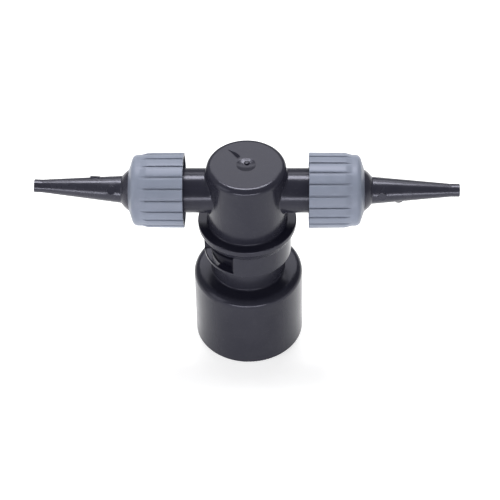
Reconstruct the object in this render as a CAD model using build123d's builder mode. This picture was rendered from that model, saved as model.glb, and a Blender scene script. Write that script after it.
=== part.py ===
from build123d import *
import math
import os

# Swivelling union tee on a push-on pipe socket. Millimetres, +Z up, the origin at the centre of the
# socket's mouth, +X along the right-hand spout.

# ---- pipe socket
pipe_r = 25.0              # the 50 mm pipe the socket takes
pipe_clear = 0.1           # radial play round the pipe
socket_wall = 3.2
socket_depth = 35.0        # pipe stop above the mouth
socket_floor_t = 9.3       # from the stop to where the wall and the shoulder would meet
shoulder_round = 4.0
shoulder_slope = 0.04      # rise over run
socket_draft = 0.3         # the wall leans in this much from the mouth to the shoulder
root_round = 0.8
rim_round = 0.4
mouth_chamfer = 1.2
socket_bore_r = pipe_r + pipe_clear
socket_r = socket_bore_r + socket_wall
socket_top_r = socket_r - socket_draft
shoulder_z = socket_depth + socket_floor_t

# ---- barrel of the tee
barrel_r = 19.85
barrel_wall = 3.3
top_round = 3.0
chamber_r = barrel_r - barrel_wall

# ---- neck, bayonet collar and lip
neck_r = barrel_r - 1.25
spindle_r = neck_r - 0.6   # the part of the neck inside the collar
neck_wall = 5.8
swivel_clear = 0.3         # play between the head and the neck
collar_wall = 3.9
collar_bore_r = spindle_r + swivel_clear
collar_r = collar_bore_r + collar_wall
neck_bore_r = neck_r - neck_wall
neck_z = shoulder_z + (socket_top_r - neck_r) * shoulder_slope
collar_z = neck_z + 13.52  # lower rim of the collar
cone_z = collar_z + 12.2   # where the cone runs out into the collar
collar_top_z = collar_z + 14.1
lip_r = barrel_r + 5.05
lip_top_z = collar_z + 20.1
lip_t = 2.6
lip_round = 0.45
lip_corner = 0.8           # fillet between the lip and the barrel

# ---- bayonet windows and lugs (angles in degrees about +Z from +X)
window_sweep = 67.0
window_start = -175.0
hoop_t = 1.3               # height of the hoop left under each window
window_h = 12.0
stop_gap = 0.5             # degrees left between a lug and the end of its window
lug_sweep = 39.5
lug_h = 8.6
lug_r = collar_r - 0.8
lug_lead = 0.4             # sloped lead-in along the top of a lug
lug_rim = 1.8              # height of the rim over the pocket in a lug's face
lug_end_rim = 2.4          # degrees, the rim at the pocket's closed end
entry_gap = 0.5            # degrees of play where a lug enters through the hoop
window_z = collar_z + hoop_t
lug_z = window_z + swivel_clear

# ---- spigot and its ring seal
spigot_clear = 0.25
spigot_len = 12.5
spigot_lead = 1.0
ring_section_r = 1.1
ring_bore_clear = 0.08     # the ring's outside to the barrel's bore
groove_clear = 0.05        # under the ring and at its sides
spigot_r = chamber_r - spigot_clear
spigot_z = collar_top_z - swivel_clear
spigot_top_z = spigot_z + spigot_len
ring_z = spigot_z + 7.5
ring_mid_r = chamber_r - ring_bore_clear - ring_section_r
groove_floor_r = ring_mid_r - ring_section_r - groove_clear

# ---- union thread (33.25 mm pipe thread)
thread_pitch = 2.309
thread_width = 0.95        # ridge width half way up, both threads
thread_sink = 0.25         # how far a ridge is rooted in its wall
male_crest_r = 16.5
male_root_r = male_crest_r - 1.4
female_crest_r = male_root_r + 0.25
female_root_r = male_crest_r + 0.35

# ---- spouts and their threaded ends
spout_r = 11.25
spout_bore_r = 8.4
spout_z = lip_top_z + 19.3
top_z = spout_z + 17.2
saddle_round = 1.0
end_x = barrel_r + 12.45   # inner face of the threaded end
end_flange_t = 0.9
thread_start_x = end_x + 1.6
end_len = 14.1
end_face_x = end_x + end_len

# ---- ball-seated hose tail
ball_r = male_crest_r - 4.35
ball_x = end_face_x + 5.65  # ball centre, out along the spout
ball_cut = 0.7 * ball_r    # how far behind the centre the ball is cut flat
seat_clear = 0.15
tail_len = 53.45           # from the ball's centre to the tip
tail_base_r = 6.85
tail_bore_r = 5.3
throat_round = 0.8
tip_r = 3.27
tip_bore_r = 2.1
tip_len = 4.0
mark_rise = 0.35
# raised round marks: distance out from the ball's centre, angle about the tail, radius
tail_marks = ((15.0, 0.0, 2.2), (23.5, 98.0, 2.6))
left_tail_tilt = 3.3       # degrees, tip up
left_tail_spin = 217.0
right_tail_spin = -12.0
tip_x = ball_x + tail_len

# ---- seal ring between the ball and the spout
seal_t = 1.9
seal_clear = 0.1
ledge_gap = 0.545          # from the cut face of the ball to the floor of its cup
seal_ledge_x = ball_x - ball_cut - ledge_gap
seal_end_x = ball_x - 3.65

# ---- union nut
nut_r = male_crest_r + 2.3
nut_front_r = nut_r - 0.18      # over the ribs at their outer end
nut_shoulder_r = nut_r - 1.05
nut_rear_bore_r = male_crest_r + 0.5
nut_rear_x = end_x - 1.4
nut_rear_bore_len = 1.9
nut_face_x = ball_x + 6.15
face_rim_x = nut_face_x - 0.35
face_rim_r = nut_r - 7.4
corner_x = nut_face_x - 1.5
corner_round = 2.8
rib_full_x = nut_face_x - 9.4
rib_end_x = nut_face_x - 6.2
rib_count = 20
rib_gap = 1.7
rib_phase = 1.9            # degrees
left_nut_turn = 7.1        # degrees the left nut has turned further along its thread
relief_x = ball_x - 2.45
seat_x = ball_x + 2.0      # where the ball's seat begins

flank = math.tan(math.radians(27.5))
pitch_r = (male_root_r + male_crest_r) / 2
seat_r = ball_r + seat_clear
seal_inner_r = ball_r + seal_clear
seal_outer_r = seal_inner_r + seal_t
cup_r = seal_outer_r + seal_clear

# Spout features are drawn on this plane: local x runs out along the spout, local y away from its axis.
spout_plane = Plane(origin=(0, 0, spout_z), x_dir=(1, 0, 0), z_dir=(0, -1, 0))
spout_axis = Axis((0, 0, spout_z), (1, 0, 0))
half_turn = Location((0, 0, 0), (0, 0, 180))


def on_sphere(radius, x):
    """Distance from the spout's axis to a sphere about the ball's centre, at x."""
    return math.sqrt(radius ** 2 - (ball_x - x) ** 2)


def sphere_mid(radius, x_a, x_b):
    """A point half way along the sphere's arc between two x positions."""
    a = math.atan2(on_sphere(radius, x_a), x_a - ball_x)
    b = math.atan2(on_sphere(radius, x_b), x_b - ball_x)
    mid = (a + b) / 2
    return (ball_x + radius * math.cos(mid), radius * math.sin(mid))


def rims(builder, radius, low, high):
    """Circular edges of one radius whose height lies between two values."""
    circles = builder.edges().filter_by(GeomType.CIRCLE)
    return circles.filter_by(lambda e: abs(e.radius - radius) < 0.01 and low <= e.center().Z <= high)


def thread_ridge(root_r, crest_r, start_x, length):
    """Helical ridge about the spout's axis, sunk a little into the wall it stands on."""
    outward = 1 if crest_r > root_r else -1
    sunk_r = root_r - outward * thread_sink
    root_half = thread_width / 2 + abs(pitch_r - sunk_r) * flank
    crest_half = thread_width / 2 - abs(crest_r - pitch_r) * flank
    path = Helix(
        pitch=thread_pitch,
        height=length,
        radius=pitch_r,
        center=(start_x, 0, spout_z),
        direction=(1, 0, 0),
    )
    start = path @ 0
    radial = (start - Vector(start_x, 0, spout_z)).normalized()
    profile = Plane(origin=start, x_dir=radial, z_dir=path % 0)
    with BuildPart() as ridge:
        with BuildSketch(profile):
            with BuildLine():
                Polyline(
                    (sunk_r - pitch_r, -root_half),
                    (crest_r - pitch_r, -crest_half),
                    (crest_r - pitch_r, crest_half),
                    (sunk_r - pitch_r, root_half),
                    close=True,
                )
            make_face()
        sweep(path=path, is_frenet=True)
    return ridge.part


male_ridge = thread_ridge(male_root_r, male_crest_r, thread_start_x, end_face_x - thread_start_x - 1.4)

# ---- tee body
with BuildPart() as tee_body:
    with BuildSketch(Plane.XZ):
        with BuildLine():
            Polyline(
                (0, top_z),
                (barrel_r, top_z),
                (barrel_r, lip_top_z),
                (lip_r, lip_top_z),
                (lip_r, lip_top_z - lip_t),
                (collar_r, cone_z),
                (collar_r, collar_z),
                (0, collar_z),
                close=True,
            )
        make_face()
    revolve(axis=Axis.Z)
    fillet(rims(tee_body, barrel_r, top_z - 0.1, top_z), top_round)
    fillet(rims(tee_body, lip_r, collar_z, top_z), lip_round)
    fillet(rims(tee_body, barrel_r, lip_top_z - 0.1, lip_top_z + 0.1), lip_corner)
    # spouts, one each way
    with BuildSketch(Plane.YZ.offset(-end_x - 1)):
        with Locations((0, spout_z)):
            Circle(spout_r)
    extrude(amount=2 * (end_x + 1))
    saddle = tee_body.edges().filter_by(GeomType.BSPLINE)
    fillet(saddle, saddle_round)
    # threaded end collars
    for turn in (0, 180):
        with BuildSketch(Plane.YZ.rotated((0, 0, turn)).offset(end_x)):
            with Locations((0, spout_z)):
                Circle(male_root_r)
        extrude(amount=end_len)
        with BuildSketch(Plane.YZ.rotated((0, 0, turn)).offset(end_x)):
            with Locations((0, spout_z)):
                Circle(male_crest_r)
        extrude(amount=end_flange_t)
    add(male_ridge)
    add(male_ridge.moved(half_turn))
    # water ways
    with BuildSketch(Plane.XY.offset(collar_z)):
        Circle(collar_bore_r)
    extrude(amount=collar_top_z - collar_z, mode=Mode.SUBTRACT)
    with BuildSketch(Plane.XY.offset(collar_z)):
        Circle(chamber_r)
    extrude(amount=top_z - barrel_wall - collar_z, mode=Mode.SUBTRACT)
    with BuildSketch(Plane.YZ.offset(-end_face_x)):
        with Locations((0, spout_z)):
            Circle(spout_bore_r)
    extrude(amount=2 * end_face_x, mode=Mode.SUBTRACT)
    # seal cups in the spout ends
    for turn in (0, 180):
        with BuildSketch(spout_plane.rotated((0, 0, turn))):
            with BuildLine():
                Line((seal_ledge_x, 0), (seal_ledge_x, on_sphere(cup_r, seal_ledge_x)))
                ThreePointArc(
                    (seal_ledge_x, on_sphere(cup_r, seal_ledge_x)),
                    sphere_mid(cup_r, seal_ledge_x, end_face_x + 0.5),
                    (end_face_x + 0.5, on_sphere(cup_r, end_face_x + 0.5)),
                )
                Line((end_face_x + 0.5, on_sphere(cup_r, end_face_x + 0.5)), (end_face_x + 0.5, 0))
                Line((end_face_x + 0.5, 0), (seal_ledge_x, 0))
            make_face()
        revolve(axis=spout_axis, mode=Mode.SUBTRACT)
    # windows
    for turn in (0, 180):
        with BuildSketch(Plane.XY.offset(window_z)):
            with BuildLine():
                inner = CenterArc((0, 0), collar_bore_r - 1, window_start + turn, window_sweep)
                outer = CenterArc((0, 0), lip_r + 1, window_start + turn, window_sweep)
                Line(inner @ 0, outer @ 0)
                Line(inner @ 1, outer @ 1)
            make_face()
        extrude(amount=window_h, mode=Mode.SUBTRACT)
    # entry slots for the lugs, behind the thin skin of the hoop
    for turn in (0, 180):
        with BuildSketch(Plane.XY.offset(collar_z)):
            with BuildLine():
                entry_sweep = lug_sweep + 2 * entry_gap
                inner = CenterArc((0, 0), collar_bore_r - 1, window_start + turn, entry_sweep)
                outer = CenterArc((0, 0), lug_r + swivel_clear, window_start + turn, entry_sweep)
                Line(inner @ 0, outer @ 0)
                Line(inner @ 1, outer @ 1)
            make_face()
        extrude(amount=hoop_t + 0.1, mode=Mode.SUBTRACT)
    # moulding gate: a shallow dished mark with a nub in it
    gate_r = 4.8
    gate_depth = 0.9
    gate_ball_r = (gate_r ** 2 + gate_depth ** 2) / (2 * gate_depth)
    with Locations((0, 0, top_z - gate_depth + gate_ball_r)):
        Sphere(gate_ball_r, mode=Mode.SUBTRACT)
    nub_r = 1.4
    nub_top_z = top_z - 0.1
    with BuildSketch(Plane.XY.offset(top_z - gate_depth - 0.4)):
        with Locations((0.4, 2.0)):
            Circle(nub_r)
    extrude(amount=gate_depth + 0.3)
    fillet(rims(tee_body, nub_r, nub_top_z - 0.01, nub_top_z + 0.01), 0.6)
tee_body.part.label = "tee_body"

# ---- pipe socket with neck, lugs and spigot
with BuildPart() as pipe_socket:
    with BuildSketch(Plane.XZ):
        with BuildLine():
            Polyline(
                (socket_bore_r, 0),
                (socket_r, 0),
                (socket_top_r, shoulder_z),
                (neck_r, neck_z),
                (neck_r, collar_z - swivel_clear),
                (spindle_r, collar_z - swivel_clear),
                (spindle_r, spigot_z),
                (spigot_r, spigot_z),
                (spigot_r, spigot_top_z),
                (neck_bore_r, spigot_top_z),
                (neck_bore_r, socket_depth + 4),
                (neck_bore_r + 3, socket_depth),
                (socket_bore_r, socket_depth),
                close=True,
            )
        make_face()
    revolve(axis=Axis.Z)
    fillet(rims(pipe_socket, neck_r, neck_z - 0.1, neck_z + 0.1), root_round)
    fillet(rims(pipe_socket, socket_top_r, shoulder_z - 0.1, shoulder_z), shoulder_round)
    fillet(rims(pipe_socket, socket_r, 0, 0.1), rim_round)
    chamfer(rims(pipe_socket, socket_bore_r, 0, 0.1), mouth_chamfer)
    chamfer(rims(pipe_socket, spigot_r, spigot_top_z - 0.1, spigot_top_z), spigot_lead)
    # ring groove
    with BuildSketch(Plane.XZ):
        with Locations((groove_floor_r, ring_z)):
            Rectangle(
                spigot_r - groove_floor_r + 1,
                2 * (ring_section_r + groove_clear),
                align=(Align.MIN, Align.CENTER),
            )
    revolve(axis=Axis.Z, mode=Mode.SUBTRACT)
    # bayonet lugs, each hooked: a pocket in its face is open below and at the entry end
    for turn in (0, 180):
        lug_start = window_start + window_sweep - stop_gap - lug_sweep + turn
        with BuildSketch(Plane.XY.offset(lug_z)):
            with BuildLine():
                inner = CenterArc((0, 0), spindle_r - 1, lug_start, lug_sweep)
                outer = CenterArc((0, 0), lug_r, lug_start, lug_sweep)
                Line(inner @ 0, outer @ 0)
                Line(inner @ 1, outer @ 1)
            make_face()
        extrude(amount=lug_h)
    chamfer(rims(pipe_socket, lug_r, lug_z + 1, spigot_z), lug_lead)
    for turn in (0, 180):
        pocket_start = window_start + window_sweep - stop_gap - lug_sweep - entry_gap + turn
        pocket_sweep = lug_sweep + entry_gap - lug_end_rim
        with BuildSketch(Plane.XY.offset(lug_z)):
            with BuildLine():
                inner = CenterArc((0, 0), spindle_r, pocket_start, pocket_sweep)
                outer = CenterArc((0, 0), lug_r + 1, pocket_start, pocket_sweep)
                Line(inner @ 0, outer @ 0)
                Line(inner @ 1, outer @ 1)
            make_face()
        extrude(amount=lug_h - lug_rim, mode=Mode.SUBTRACT)
pipe_socket.part.label = "pipe_socket"

# ---- ring seal on the spigot
with BuildPart() as spigot_ring:
    with BuildSketch(Plane.XZ):
        with Locations((ring_mid_r, ring_z)):
            Circle(ring_section_r)
    revolve(axis=Axis.Z)
spigot_ring.part.label = "spigot_ring"

# ---- seal ring: a cupped rubber ring on the ball
with BuildPart() as seal_ring:
    with BuildSketch(spout_plane):
        with BuildLine():
            x_a = seal_ledge_x + seal_clear
            x_b = seal_end_x
            Line((x_a, on_sphere(seal_inner_r, x_a)), (x_a, on_sphere(seal_outer_r, x_a)))
            ThreePointArc(
                (x_a, on_sphere(seal_outer_r, x_a)),
                sphere_mid(seal_outer_r, x_a, x_b),
                (x_b, on_sphere(seal_outer_r, x_b)),
            )
            Line((x_b, on_sphere(seal_outer_r, x_b)), (x_b, on_sphere(seal_inner_r, x_b)))
            ThreePointArc(
                (x_b, on_sphere(seal_inner_r, x_b)),
                sphere_mid(seal_inner_r, x_a, x_b),
                (x_a, on_sphere(seal_inner_r, x_a)),
            )
        make_face()
    revolve(axis=spout_axis)

# ---- union nut
female_start_x = thread_start_x + thread_pitch / 2     # half a turn out of step with the male ridge
female_ridge = thread_ridge(
    female_root_r,
    female_crest_r,
    female_start_x,
    relief_x - 1.6 - female_start_x,
)
with BuildPart() as union_nut:
    with BuildSketch(spout_plane):
        with BuildLine():
            Polyline(
                (nut_face_x, on_sphere(seat_r, nut_face_x)),
                (face_rim_x, face_rim_r),
                (corner_x, nut_shoulder_r - 0.1),
                (rib_end_x, nut_shoulder_r),
                (rib_full_x, nut_front_r),
                (nut_rear_x, nut_r),
                (nut_rear_x, nut_rear_bore_r),
                (nut_rear_x + nut_rear_bore_len, nut_rear_bore_r),
                (nut_rear_x + nut_rear_bore_len, female_root_r),
                (relief_x, female_root_r),
                (relief_x + 1.4, female_crest_r),
                (seat_x, on_sphere(seat_r, seat_x)),
            )
            ThreePointArc(
                (seat_x, on_sphere(seat_r, seat_x)),
                sphere_mid(seat_r, seat_x, nut_face_x),
                (nut_face_x, on_sphere(seat_r, nut_face_x)),
            )
        make_face()
    revolve(axis=spout_axis)
    corner = union_nut.edges().filter_by(GeomType.CIRCLE).filter_by(
        lambda e: abs(e.center().X - corner_x) < 0.01
    )
    fillet(corner, corner_round)
    # grip grooves down to the shoulder
    with BuildSketch(Plane.YZ.offset(nut_rear_x - 1)):
        with Locations((0, spout_z)):
            with PolarLocations(nut_shoulder_r + 1.5, rib_count, start_angle=rib_phase):
                Rectangle(3.0, rib_gap)
    extrude(amount=rib_end_x - nut_rear_x + 1, mode=Mode.SUBTRACT)
    add(female_ridge)

# ---- hose tail
cone_x = ball_x + math.sqrt(ball_r ** 2 - tail_base_r ** 2)
tail_taper = (tail_base_r - tip_r) / (tip_x - tip_len - cone_x)
with BuildPart() as hose_tail:
    with BuildSketch(spout_plane):
        with BuildLine():
            x_a = ball_x - ball_cut
            Line((x_a, tail_bore_r), (x_a, on_sphere(ball_r, x_a)))
            ThreePointArc(
                (x_a, on_sphere(ball_r, x_a)),
                sphere_mid(ball_r, x_a, cone_x),
                (cone_x, tail_base_r),
            )
            Polyline(
                (cone_x, tail_base_r),
                (tip_x - tip_len, tip_r),
                (tip_x, tip_r),
                (tip_x, tip_bore_r),
                (tip_x - tip_len, tip_bore_r),
                (cone_x, tail_bore_r),
                (x_a, tail_bore_r),
            )
        make_face()
    revolve(axis=spout_axis)
    throat = hose_tail.edges().filter_by(GeomType.CIRCLE).filter_by(
        lambda e: abs(e.center().X - cone_x) < 0.01 and abs(e.radius - tail_base_r) < 0.01
    )
    fillet(throat, throat_round)

    for reach, angle, mark_r in tail_marks:
        wall_r = tail_base_r - (ball_x + reach - cone_x) * tail_taper
        facing = Plane(
            origin=(ball_x + reach, 0, spout_z),
            x_dir=(1, 0, 0),
            z_dir=(0, -math.cos(math.radians(angle)), -math.sin(math.radians(angle))),
        )
        with BuildSketch(facing.offset(wall_r - 1)):
            Circle(mark_r)
        extrude(amount=1 + mark_rise)

# ---- the pairs in place: the left-hand set is the right-hand set turned half round
with BuildPart() as right_seal_ring:
    add(seal_ring.part)
right_seal_ring.part.label = "right_seal_ring"

with BuildPart() as left_seal_ring:
    add(seal_ring.part.moved(half_turn))
left_seal_ring.part.label = "left_seal_ring"

with BuildPart() as right_union_nut:
    add(union_nut.part)
right_union_nut.part.label = "right_union_nut"

unscrewed = Location((thread_pitch * left_nut_turn / 360, 0, 0))
with BuildPart() as left_union_nut:
    add(union_nut.part.rotate(spout_axis, left_nut_turn).moved(unscrewed).moved(half_turn))
left_union_nut.part.label = "left_union_nut"

with BuildPart() as right_hose_tail:
    add(hose_tail.part.rotate(spout_axis, right_tail_spin))
right_hose_tail.part.label = "right_hose_tail"

left_ball = Axis((-ball_x, 0, spout_z), (0, 1, 0))
with BuildPart() as left_hose_tail:
    spun_tail = hose_tail.part.rotate(spout_axis, left_tail_spin)
    add(spun_tail.moved(half_turn).rotate(left_ball, left_tail_tilt))
left_hose_tail.part.label = "left_hose_tail"

os.makedirs("parts", exist_ok=True)
export_step(tee_body.part, "parts/tee_body.step")
export_step(pipe_socket.part, "parts/pipe_socket.step")
export_step(spigot_ring.part, "parts/spigot_ring.step")
export_step(right_seal_ring.part, "parts/right_seal_ring.step")
export_step(left_seal_ring.part, "parts/left_seal_ring.step")
export_step(right_union_nut.part, "parts/right_union_nut.step")
export_step(left_union_nut.part, "parts/left_union_nut.step")
export_step(right_hose_tail.part, "parts/right_hose_tail.step")
export_step(left_hose_tail.part, "parts/left_hose_tail.step")
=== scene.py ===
import math

import bmesh
import bpy
from mathutils import Matrix, Vector


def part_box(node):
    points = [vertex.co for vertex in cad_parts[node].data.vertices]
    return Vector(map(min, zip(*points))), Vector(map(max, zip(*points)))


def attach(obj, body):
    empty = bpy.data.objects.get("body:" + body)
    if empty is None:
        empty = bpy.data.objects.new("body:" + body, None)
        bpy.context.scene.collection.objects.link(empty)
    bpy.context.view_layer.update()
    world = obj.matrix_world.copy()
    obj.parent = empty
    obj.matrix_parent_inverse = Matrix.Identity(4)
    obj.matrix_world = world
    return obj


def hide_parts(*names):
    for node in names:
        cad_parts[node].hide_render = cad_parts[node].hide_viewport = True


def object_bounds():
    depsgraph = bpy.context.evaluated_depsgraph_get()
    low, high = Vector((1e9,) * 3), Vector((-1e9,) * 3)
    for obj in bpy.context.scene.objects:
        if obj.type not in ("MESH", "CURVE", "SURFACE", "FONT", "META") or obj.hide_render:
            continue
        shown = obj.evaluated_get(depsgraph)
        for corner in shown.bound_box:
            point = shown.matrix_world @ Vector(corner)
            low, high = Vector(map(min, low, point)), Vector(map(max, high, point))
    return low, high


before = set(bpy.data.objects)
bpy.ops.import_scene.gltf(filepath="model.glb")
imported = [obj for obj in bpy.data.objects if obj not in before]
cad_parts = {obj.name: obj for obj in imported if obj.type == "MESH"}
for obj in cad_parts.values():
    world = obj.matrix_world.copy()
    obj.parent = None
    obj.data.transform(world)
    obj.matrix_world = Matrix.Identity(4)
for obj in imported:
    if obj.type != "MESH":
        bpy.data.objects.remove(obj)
cad_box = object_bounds()

MM = 0.001
PITCH = 2.309                                      # of the union thread, in millimetres
spout_z = sum(c.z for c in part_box("right_union_nut")) / 2


# ---------------------------------------------------------------- shader helpers
class Graph:
    """A material's or world's node tree, with short ways to add and join nodes."""

    def __init__(self, owner):
        owner.use_nodes = True
        self.tree = owner.node_tree
        self.tree.nodes.clear()

    def add(self, kind, inputs=None, **settings):
        node = self.tree.nodes.new("ShaderNode" + kind)
        for key, value in settings.items():
            setattr(node, key, value)
        for key, value in (inputs or {}).items():
            self.feed(node.inputs[key], value)
        return node

    def feed(self, socket, value):
        if isinstance(value, bpy.types.NodeSocket):
            self.tree.links.new(value, socket)
        else:
            socket.default_value = value

    def math(self, operation, a, b=0.0, clamp=False):
        node = self.add("Math", {0: a, 1: b}, operation=operation, use_clamp=clamp)
        return node.outputs[0]

    def noise(self, size, detail=2.0, rough=0.5, warp=0.0, stretch=(1, 1, 1)):
        """Noise whose lumps are about one size across, in metres, in the piece's own space."""
        place = self.add("TexCoord").outputs["Object"]
        scaled = self.add("Mapping", {"Vector": place, "Scale": stretch})
        found = self.add(
            "TexNoise",
            {
                "Vector": scaled.outputs[0],
                "Scale": 1 / size,
                "Detail": detail,
                "Roughness": rough,
                "Distortion": warp,
            },
        )
        return found.outputs["Fac"]

    def ramp(self, value, low, high, start=0.0, end=1.0):
        """The value spread from low..high to start..end, held at both ends."""
        node = self.add(
            "MapRange",
            {"Value": value, "From Min": low, "From Max": high, "To Min": start, "To Max": end},
            interpolation_type="SMOOTHSTEP",
        )
        return node.outputs[0]

    def mix(self, share, a, b):
        node = self.add("Mix", data_type="RGBA")
        self.feed(node.inputs[0], share)
        self.feed(node.inputs[6], a)
        self.feed(node.inputs[7], b)
        return node.outputs[2]

    def edges(self, radius):
        """1 on edges sharper than the radius, 0 on open faces, and the softened normal."""
        soft = self.add("Bevel", {"Radius": radius}, samples=6)
        plain = self.add("NewGeometry").outputs["Normal"]
        dot = self.add("VectorMath", {0: soft.outputs[0], 1: plain}, operation="DOT_PRODUCT")
        return self.ramp(dot.outputs["Value"], 0.97, 0.80), soft.outputs[0]


def colour(r, g, b):
    return (r, g, b, 1.0)


# ---------------------------------------------------------------- materials
def flow_mark(g):
    """1 along the short smear that the melt left beside the gate on the barrel's top, 0 elsewhere."""
    start = Vector((-8.9, 10.9, 0)) * MM
    end = Vector((-3.6, 5.2, 0)) * MM
    bow_rise = 1.6 * MM
    half_widths = (0.35 * MM, 1.3 * MM)            # at its thin start and at its thick end
    along = (end - start).normalized()
    place = g.add("TexCoord").outputs["Object"]
    from_start = g.add("VectorMath", {0: place, 1: start}, operation="SUBTRACT").outputs[0]
    travel = g.add("VectorMath", {0: from_start, 1: along}, operation="DOT_PRODUCT").outputs["Value"]
    side = g.add("VectorMath", {0: from_start, 1: (along.y, -along.x, 0)}, operation="DOT_PRODUCT")
    share = g.math("DIVIDE", travel, (end - start).length)
    bow = g.math("MULTIPLY", g.math("MULTIPLY", share, g.math("SUBTRACT", 1.0, share)), bow_rise)
    off = g.math("ABSOLUTE", g.math("ADD", side.outputs["Value"], bow))
    width = g.ramp(share, 0.0, 0.75, *half_widths)
    streak = g.math("SUBTRACT", 1.0, g.ramp(g.math("DIVIDE", off, width), 0.45, 1.15))
    faded = g.math("SUBTRACT", 1.0, g.ramp(share, 0.92, 1.08))
    ends = g.math("MULTIPLY", g.ramp(share, -0.02, 0.06), faded)
    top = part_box("tee_body")[1].z
    height = g.add("SeparateXYZ", {0: place}).outputs["Z"]
    on_top = g.ramp(height, top - 1.5 * MM, top - 1.0 * MM)
    return g.math("MULTIPLY", g.math("MULTIPLY", streak, ends), on_top)


def moulded_plastic(
    name, base, pale, shine, grain_size, grain_depth, edge_radius, ior, bloom, marked=False, matt_and_shaded_above=None
):
    """Injection-moulded plastic: soft mottling, fine grain, shallow sink ripples, rubbed edges and specks.

    The shine is its roughness. The bloom is the strength of a faint blue emission, a painted glow that lifts
    the blacks.
    Above matt_and_shaded_above, a height, it is dull, and its colour is painted darker there as shade of the
    recess inside the collar.
    """
    mottle_size, ripple_size, speck_size = 14 * MM, 9 * MM, 0.55 * MM
    scratch_size, rub_size = 0.25 * MM, 2.2 * MM
    ripple_depth = 0.010 * MM
    worn = 0.35                                    # share of an edge's rubbing that shows
    full_reflection, dull_reflection = 0.5, 0.12
    material = bpy.data.materials.new(name)
    g = Graph(material)
    mottle = g.noise(mottle_size, 3.0, 0.55, 0.4)
    grain = g.noise(grain_size, 2.0, 0.6)
    ripple = g.noise(ripple_size, 1.0, 0.4)
    specks = g.noise(speck_size, 0.0)
    scratches = g.noise(scratch_size, 1.0, 0.5, 0.0, (1, 1, 0.04))
    edge, soft_normal = g.edges(edge_radius)
    rub = g.ramp(g.noise(rub_size, 4.0, 0.65), 0.46, 0.62)
    wear = g.math("MULTIPLY", edge, g.math("MULTIPLY", rub, worn))
    dust = g.math("MULTIPLY", g.ramp(specks, 0.76, 0.80), 0.10)
    body = g.mix(g.ramp(mottle, 0.3, 0.7), base, pale)
    rubbed = colour(*[min(1, 0.10 + 1.35 * c) for c in base[:3]])
    tone = g.mix(g.math("ADD", wear, dust, clamp=True), body, rubbed)
    rough = g.math("ADD", g.ramp(mottle, 0.3, 0.7, shine, shine + 0.06), g.math("MULTIPLY", wear, 0.18))
    rough = g.math("ADD", rough, g.ramp(scratches, 0.62, 0.70, 0.0, 0.012))
    reflect = full_reflection
    if marked:
        mark = flow_mark(g)
        reflect = g.ramp(mark, 0.0, 1.0, full_reflection, dull_reflection)
        tone = g.mix(mark, tone, colour(0.002, 0.002, 0.005))
        rough = g.math("ADD", rough, g.math("MULTIPLY", mark, 0.22))
        ripple = g.math("SUBTRACT", ripple, g.math("MULTIPLY", mark, 6.0))
    if matt_and_shaded_above is not None:
        place = g.add("TexCoord").outputs["Object"]
        height = g.add("SeparateXYZ", {0: place}).outputs["Z"]
        matt_and_shade = g.ramp(height, matt_and_shaded_above - 0.4 * MM, matt_and_shaded_above)
        # painted shade: the colour goes darker above the height, for the shaded recess inside the collar;
        # the rougher, duller reflection is the real finish
        tone = g.mix(matt_and_shade, tone, colour(0.005, 0.005, 0.008))
        rough = g.math("ADD", rough, g.math("MULTIPLY", matt_and_shade, 0.3))
        reflect = g.ramp(matt_and_shade, 0.0, 1.0, full_reflection, dull_reflection)
    low = g.add(
        "Bump",
        {"Height": ripple, "Distance": ripple_depth, "Strength": 1.0, "Normal": soft_normal},
    )
    fine = g.add(
        "Bump",
        {"Height": grain, "Distance": grain_depth, "Strength": 1.0, "Normal": low.outputs[0]},
    )
    surface = g.add(
        "BsdfPrincipled",
        {
            "Base Color": tone,
            "Roughness": rough,
            "Normal": fine.outputs[0],
            "IOR": ior,
            "Specular IOR Level": reflect,
            "Specular Tint": colour(0.84, 0.84, 1.0),
            # painted glow: a faint blue emission on the plastic, which is no lamp, lifts its blacks
            "Emission Color": colour(0.45, 0.45, 1.0),
            "Emission Strength": bloom,
        },
    )
    g.add("OutputMaterial", {"Surface": surface.outputs[0]})
    return material


def seal_rubber():
    """Matt black rubber with a dusty bloom and a fine pebbled skin."""
    material = bpy.data.materials.new("seal_rubber")
    g = Graph(material)
    bloom = g.ramp(g.noise(3 * MM, 4.0, 0.6), 0.4, 0.75)
    pebble = g.noise(0.12 * MM, 2.0)
    edge, soft_normal = g.edges(0.15 * MM)
    tone = g.mix(bloom, colour(0.012, 0.012, 0.012), colour(0.032, 0.031, 0.030))
    skin = g.add("Bump", {"Height": pebble, "Distance": 0.012 * MM, "Normal": soft_normal})
    rough = g.math("ADD", g.ramp(bloom, 0.0, 1.0, 0.55, 0.75), g.math("MULTIPLY", edge, 0.1))
    surface = g.add(
        "BsdfPrincipled", {"Base Color": tone, "Roughness": rough, "Normal": skin.outputs[0], "IOR": 1.5}
    )
    g.add("OutputMaterial", {"Surface": surface.outputs[0]})
    return material


black_tones = {"base": colour(0.0135, 0.0135, 0.0190), "pale": colour(0.0165, 0.0165, 0.0220)}
polished = {"shine": 0.19, "grain_size": 0.28 * MM, "grain_depth": 0.0012 * MM, "edge_radius": 0.25 * MM}
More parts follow.
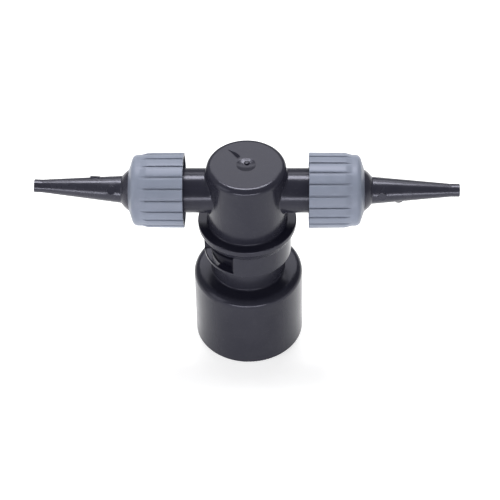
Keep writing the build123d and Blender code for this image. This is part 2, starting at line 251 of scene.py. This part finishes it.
# bloom: strength of the painted blue glow that lifts the blacks
black_body = moulded_plastic("black_moulding", **black_tones, **polished, ior=1.31, bloom=0.005, marked=True)
black_base = moulded_plastic(
    "black_base",
    **black_tones,
    **polished,
    ior=1.31,
    bloom=0.004,
    matt_and_shaded_above=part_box("tee_body")[0].z,            # the bearing faces inside the collar are dull, and painted darker as shade of the recess there
)
black_tail = moulded_plastic(
    "black_tail",
    base=colour(0.0150, 0.0150, 0.0200),
    pale=colour(0.0180, 0.0180, 0.0235),
    shine=0.23,
    grain_size=0.22 * MM,
    grain_depth=0.0012 * MM,
    edge_radius=0.2 * MM,
    ior=1.42,
    bloom=0.006,
)
grey_nut = moulded_plastic(
    "grey_moulding",
    base=colour(0.146, 0.163, 0.207),
    pale=colour(0.162, 0.180, 0.227),
    shine=0.36,
    grain_size=0.20 * MM,
    grain_depth=0.0025 * MM,
    edge_radius=0.12 * MM,
    ior=1.30,
    bloom=0.0,
)
rubber = seal_rubber()


# ---------------------------------------------------------------- union nuts
def smooth(x, low, high):
    """0 below low, 1 above high, and a smooth step between."""
    t = min(1.0, max(0.0, (x - low) / (high - low)))
    return t * t * (3 - 2 * t)


class NutShape:
    """Sizes of a union nut in millimetres. x runs out along the spout, from the tee's centre."""

    def __init__(self):
        low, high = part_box("right_union_nut")
        self.rear = low.x / MM
        self.face = high.x / MM
        self.top = (high.z - low.z) / 2 / MM       # over the ribs at the rear
        self.front_top = self.top - 0.18           # over the ribs where the ramp begins
        self.floor = self.top - 1.05               # floor of the grooves and the shoulder
        self.ramp = (self.face - 9.4, self.face - 6.2)
        self.groove_half = 0.50
        self.groove_wall = 0.30
        self.ribs = 20
        self.rib_phase = math.radians(1.9)
        self.bore = self.top - 1.8                 # plain bore at the rear
        self.thread_root = self.top - 1.95
        self.thread_rise = 1.5
        self.pitch = PITCH
        self.thread_phase = 0.9317                 # of a pitch, where the ridge crosses the +Y side
        self.thread_span = (self.rear + 4.2, self.face - 10.4)
        self.ridge_half = (0.865, 0.085)           # half width at the root and at the crest
        self.seat_centre = self.face - 6.15
        self.seat = 12.3
        self.corner_r = 2.8                        # rounded corner between the shoulder and the face
        self.corner_centre = (self.face - 4.3, self.floor - 2.85)
        self.face_rim = (self.face - 0.8, self.floor - 4.6)
        self.edge_r = 0.22

    def rib_top(self, x):
        """Height of the ribs over the groove floor."""
        lean = (x - self.rear) / (self.ramp[0] - self.rear)
        full = self.top + (self.front_top - self.top) * min(1.0, lean) - self.floor
        run_out = 1 - smooth(x, self.ramp[0] - 0.6, self.ramp[1] + 0.6)
        return full * run_out

    def across_rib(self, angle):
        """Share of a rib's height: 1 on its crown and less in a groove, with rounded edges."""
        step = 2 * math.pi / self.ribs
        off = (angle - self.rib_phase + step / 2) % step - step / 2
        reach = abs(off) * self.top
        wall = smooth(reach, self.groove_half, self.groove_half + self.groove_wall)
        crown = smooth(reach, self.groove_half + self.groove_wall - 0.1, self.groove_half + 0.9)
        return 0.28 + wall * (0.64 + 0.08 * crown)

    def ridge(self, x, angle):
        """Height of the thread's ridge over its root."""
        turns = (x / self.pitch - angle / (2 * math.pi) - self.thread_phase + 0.5) % 1.0
        reach = abs(turns - 0.5) * self.pitch
        root, crest = self.ridge_half
        up = min(1.0, max(0.0, (root - reach) / (root - crest)))
        ends = smooth(x, self.thread_span[0], self.thread_span[0] + 0.8)
        ends *= 1 - smooth(x, self.thread_span[1] - 0.8, self.thread_span[1])
        return self.thread_rise * up * ends

    def outline(self):
        """Points round the nut's wall as (x, radius, kind), kind being rib, plain or thread."""
        points = []

        def arc(cx, cr, radius, start, end, steps, kind):
            for i in range(steps + 1):
                a = math.radians(start + (end - start) * i / steps)
                points.append((cx + radius * math.cos(a), cr + radius * math.sin(a), kind))

        edge = self.edge_r
        arc(self.rear + edge, self.floor - edge, edge, 180, 90, 4, "rib")
        ring_gap = 2.6
        x = self.rear + 0.8
        while x < self.ramp[0] - 1.2:
            points.append((x, self.floor, "rib"))
            x += ring_gap
        steps = 9
        for i in range(steps + 1):
            x = self.ramp[0] - 1.0 + (self.ramp[1] - self.ramp[0] + 1.9) * i / steps
            points.append((x, self.floor, "rib"))
        arc(*self.corner_centre, self.corner_r, 88, 16, 9, "plain")
        points.append((*self.face_rim, "plain"))
        inner = math.sqrt(self.seat ** 2 - (self.face - self.seat_centre) ** 2)
        arc(self.face - edge, inner + edge, edge, 0, -70, 3, "plain")
        start = math.atan2(inner, self.face - self.seat_centre) + 0.03
        steps = 8
        for i in range(steps + 1):
            a = start + (math.radians(80) - start) * i / steps
            x, r = self.seat_centre + self.seat * math.cos(a), self.seat * math.sin(a)
            points.append((x, r, "plain"))
        points.append((self.face - 7.2, self.thread_root - self.thread_rise, "plain"))
        points.append((self.face - 8.6, self.thread_root - 0.1, "plain"))
        x = self.face - 9.0
        while x > self.thread_span[0] - 0.2:
            points.append((x, self.thread_root, "thread"))
            x -= self.pitch / 14
        points.append((self.rear + 2.2, self.thread_root, "plain"))
        points.append((self.rear + 1.9, self.bore, "plain"))
        arc(self.rear + edge, self.bore + edge, edge, 270, 180, 3, "plain")
        return points

    def angles(self):
        """Directions round the nut, closer together at the edges of the grooves."""
        edge = self.groove_half
        wall = self.groove_wall
        offsets = [0.0, edge * 0.6, edge]
        offsets += [edge + wall * f for f in (0.25, 0.5, 0.75, 1.0)]
        offsets += [edge + wall + f for f in (0.2, 0.5, 1.0, 1.5)]
        both = sorted({-o for o in offsets} | set(offsets))
        step = 2 * math.pi / self.ribs
        return [self.rib_phase + i * step + o / self.top for i in range(self.ribs) for o in both]

    def radius(self, point, angle):
        x, r, kind = point
        if kind == "rib":
            return r + self.rib_top(x) * self.across_rib(angle)
        if kind == "thread":
            return r - self.ridge(x, angle)
        return r


def union_nut(name, body, placed):
    """The nut as one closed wall: grip ribs that run out on the shoulder, a ball seat and a real thread."""
    nut = NutShape()
    points, angles = nut.outline(), nut.angles()
    shape = bmesh.new()
    rings = []
    for point in points:
        ring = []
        for angle in angles:
            r = nut.radius(point, angle)
            place = Vector((point[0], r * math.cos(angle), r * math.sin(angle))) * MM
            ring.append(shape.verts.new(place + Vector((0, 0, spout_z))))
        rings.append(ring)
    count = len(angles)
    for i, ring in enumerate(rings):
        other = rings[(i + 1) % len(rings)]
        for j in range(count):
            k = (j + 1) % count
            shape.faces.new((ring[j], ring[k], other[k], other[j]))
    bmesh.ops.recalc_face_normals(shape, faces=shape.faces)
    for face in shape.faces:
        face.smooth = True
    mesh = bpy.data.meshes.new(name)
    shape.to_mesh(mesh)
    shape.free()
    mesh.transform(placed)
    mesh.materials.append(grey_nut)
    piece = bpy.data.objects.new(name, mesh)
    bpy.context.scene.collection.objects.link(piece)
    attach(piece, body)
    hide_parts(name.replace("_grip_nut", "_union_nut"))


left_turn = 7.1                                    # degrees the left nut is further off its thread
spout_line = Matrix.Translation((0, 0, spout_z))
turned = spout_line @ Matrix.Rotation(math.radians(left_turn), 4, "X") @ spout_line.inverted()
backed_off = Matrix.Translation((PITCH * MM * left_turn / 360, 0, 0))
union_nut("right_grip_nut", "right_nut", Matrix.Identity(4))
union_nut("left_grip_nut", "left_nut", Matrix.Rotation(math.pi, 4, "Z") @ backed_off @ turned)


def wear_it(node, material):
    """Gives a CAD node its finish."""
    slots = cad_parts[node].data.materials
    slots.clear()
    slots.append(material)


for node, material in {
    "tee_body": black_body,
    "pipe_socket": black_base,
    "left_hose_tail": black_tail,
    "right_hose_tail": black_tail,
    "spigot_ring": rubber,
    "left_seal_ring": rubber,
    "right_seal_ring": rubber,
}.items():
    wear_it(node, material)


# ---------------------------------------------------------------- floor, light and camera
def white_floor():
    half = 4.0
    drop = 0.0002                                  # below the part, so that the two never touch
    mesh = bpy.data.meshes.new("floor")
    shape = bmesh.new()
    bmesh.ops.create_grid(shape, x_segments=8, y_segments=8, size=half)
    shape.to_mesh(mesh)
    shape.free()
    floor = bpy.data.objects.new("floor", mesh)
    floor.location = (0, 0, cad_box[0].z - drop)
    bpy.context.scene.collection.objects.link(floor)
    material = bpy.data.materials.new("floor_paper")
    g = Graph(material)
    tooth = g.noise(0.9 * MM, 3.0)
    bump = g.add("Bump", {"Height": tooth, "Distance": 0.02 * MM})
    tone = g.mix(g.noise(0.25, 2.0), colour(0.58, 0.58, 0.58), colour(0.62, 0.62, 0.62))
    surface = g.add(
        "BsdfPrincipled",
        {
            "Base Color": tone,
            "Roughness": 0.9,
            "Normal": bump.outputs[0],
            "Emission Color": colour(1, 1, 1),
            "Emission Strength": 0.67,
        },
    )
    g.add("OutputMaterial", {"Surface": surface.outputs[0]})
    mesh.materials.append(material)


def softbox(name, place, target, width, depth, radiance):
    """A rectangular light that faces its target, as bright all over as the radiance says."""
    light = bpy.data.lights.new(name, "AREA")
    light.shape = "RECTANGLE"
    light.size = width
    light.size_y = depth
    light.energy = radiance * math.pi * width * depth
    lamp = bpy.data.objects.new(name, light)
    lamp.location = place
    lamp.rotation_euler = (Vector(target) - Vector(place)).to_track_quat("-Z", "Y").to_euler()
    lamp.visible_camera = False
    bpy.context.scene.collection.objects.link(lamp)


def studio_world():
    """Pale round the horizon and behind, brighter to the left, and dark in front and above."""
    world = bpy.data.worlds.new("studio")
    bpy.context.scene.world = world
    g = Graph(world)
    towards = g.add("TexCoord").outputs["Generated"]
    dark_way = Vector((0.25, -0.75, 0.60)).normalized()
    dot = g.add("VectorMath", {0: towards, 1: dark_way}, operation="DOT_PRODUCT")
    share = g.ramp(dot.outputs["Value"], 0.0, 0.80)
    right = g.ramp(g.add("SeparateXYZ", {0: towards}).outputs["X"], -0.8, 0.8)
    horizon = g.mix(right, colour(0.42, 0.42, 0.42), colour(0.25, 0.25, 0.25))
    tone = g.mix(share, horizon, colour(0.17, 0.17, 0.18))
    back = g.add("Background", {"Color": tone, "Strength": 1.0})
    g.add("OutputWorld", {"Surface": back.outputs[0]})


def camera():
    """Stands in front and above, looking 45 degrees down."""
    place = (0.01969, -0.61486, 0.67762)
    heading, looking_down, roll = 1.734, 45.332, -1.174    # degrees
    lens = bpy.data.cameras.new("camera")
    lens.lens = 122.4
    lens.sensor_width = 36
    lens.dof.use_dof = False
    lens.clip_start = 0.01
    lens.clip_end = 50
    eye = bpy.data.objects.new("camera", lens)
    bpy.context.scene.collection.objects.link(eye)
    turn = Matrix.Rotation(math.radians(heading), 4, "Z")
    tip = Matrix.Rotation(math.radians(90 - looking_down), 4, "X")
    lean = Matrix.Rotation(math.radians(roll), 4, "Z")
    eye.matrix_world = Matrix.Translation(place) @ turn @ tip @ lean
    bpy.context.scene.camera = eye


white_floor()
studio_world()
on_spouts = (0, 0, spout_z)
band_z = 0.080
softbox("key", place=(0, 0.33, 0.95), target=on_spouts, width=0.52, depth=0.28, radiance=26.0)
softbox("over_back", place=(0, 0.85, 0.85), target=on_spouts, width=1.20, depth=0.28, radiance=3.5)
softbox("left_side", place=(-0.75, -0.40, 0.42), target=on_spouts, width=0.50, depth=0.55, radiance=2.4)
softbox("front_band", (0, -0.95, band_z), (0, 0, band_z), width=1.20, depth=0.15, radiance=15.0)
camera()
bpy.context.scene.view_settings.view_transform = "Standard"
